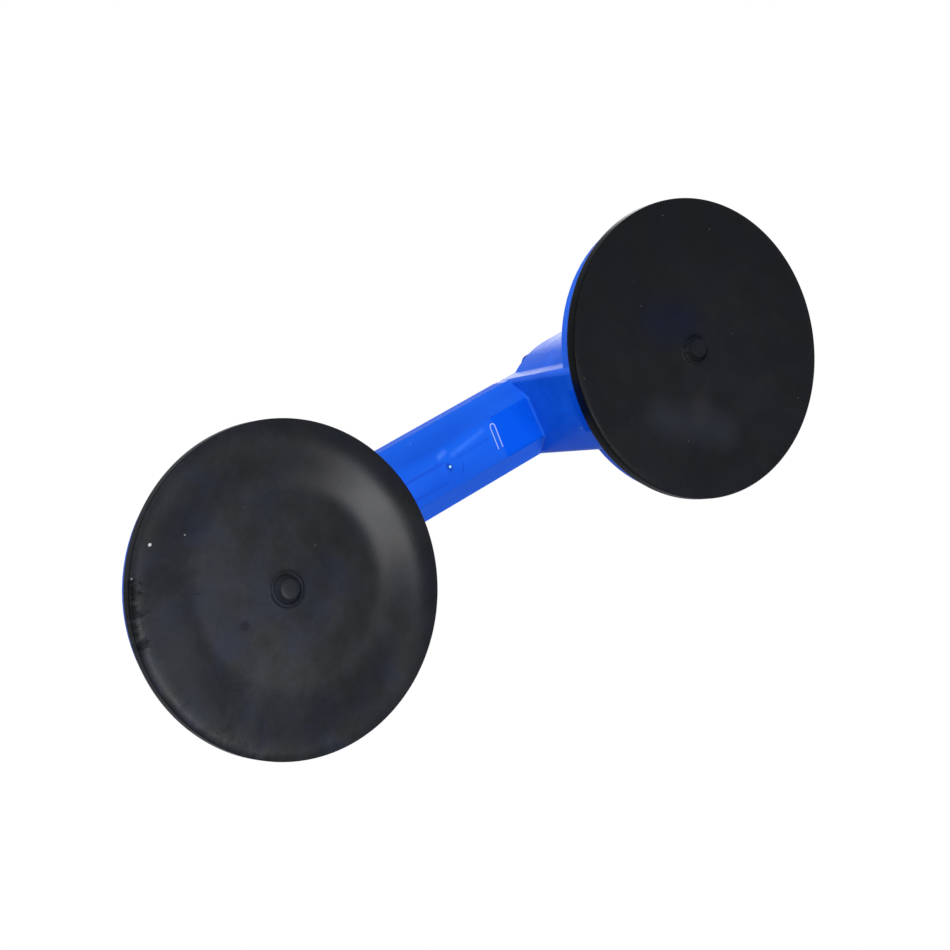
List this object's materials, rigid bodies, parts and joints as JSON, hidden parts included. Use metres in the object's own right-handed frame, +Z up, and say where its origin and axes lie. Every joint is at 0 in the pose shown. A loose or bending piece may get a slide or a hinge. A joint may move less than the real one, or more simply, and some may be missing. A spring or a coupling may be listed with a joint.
{
  "type": "floor tile suction lifter",
  "caption": "Hand lifter for floor tiles and glass: rubber vacuum cups under a bridging grip, each worked by a cam lever that folds down over the grip.",
  "frame": {"origin": "on the floor plane that the released cups stand on, midway between the two cups", "axes": "+X along the grip towards the right cup, +Z up out of the cups, +Y across the grip"},
  "size_m": [0.3188, 0.118, 0.1221],
  "materials": {
    "housing_plastic": "glossy moulded ABS, bright blue",
    "lever_plastic": "glossy moulded nylon, bright blue",
    "cup_rubber": "smooth black moulded rubber with a faint sheen",
    "zinc_steel": "bright zinc plated steel",
    "spring_steel": "dark spring steel"
  },
  "bodies": {
    "frame": {"frame": "housing_plastic", "grip_cover": "housing_plastic", "left_cup": "cup_rubber", "right_cup": "cup_rubber", "left_wear_plate": "zinc_steel", "right_wear_plate": "zinc_steel", "left_return_spring": "spring_steel", "right_return_spring": "spring_steel"},
    "left_stud": {"left_stud": "zinc_steel", "left_insert_plate": "zinc_steel", "left_spring_washer": "zinc_steel", "left_pivot_pin": "zinc_steel", "left_pin_clip": "spring_steel"},
    "right_stud": {"right_stud": "zinc_steel", "right_insert_plate": "zinc_steel", "right_spring_washer": "zinc_steel", "right_pivot_pin": "zinc_steel", "right_pin_clip": "spring_steel"},
    "left_lever": {"left_lever": "lever_plastic"},
    "right_lever": {"right_lever": "lever_plastic"}
  },
  "joints": [
    {"name": "left_lift", "type": "slide", "parent": "frame", "child": "left_stud", "axis": [0, 0, 1], "range_m": [0, 0.005], "deforming": ["left_cup", "left_return_spring"]},
    {"name": "left_lever_turn", "type": "hinge", "parent": "left_stud", "child": "left_lever", "pos_m": [-0.1004, 0, 0.0576], "axis": [0, 1, 0], "range_deg": [0, 80]},
    {"name": "right_lift", "type": "slide", "parent": "frame", "child": "right_stud", "axis": [0, 0, 1], "range_m": [0, 0.005], "deforming": ["right_cup", "right_return_spring"]},
    {"name": "right_lever_turn", "type": "hinge", "parent": "right_stud", "child": "right_lever", "pos_m": [0.1004, 0, 0.0576], "axis": [0, -1, 0], "range_deg": [0, 80]}
  ],
  "couplings": [
    {"joint": "left_lift", "follows": "left_lever_turn", "m_per_rad": 0.003581},
    {"joint": "right_lift", "follows": "right_lever_turn", "m_per_rad": 0.003581}
  ]
}
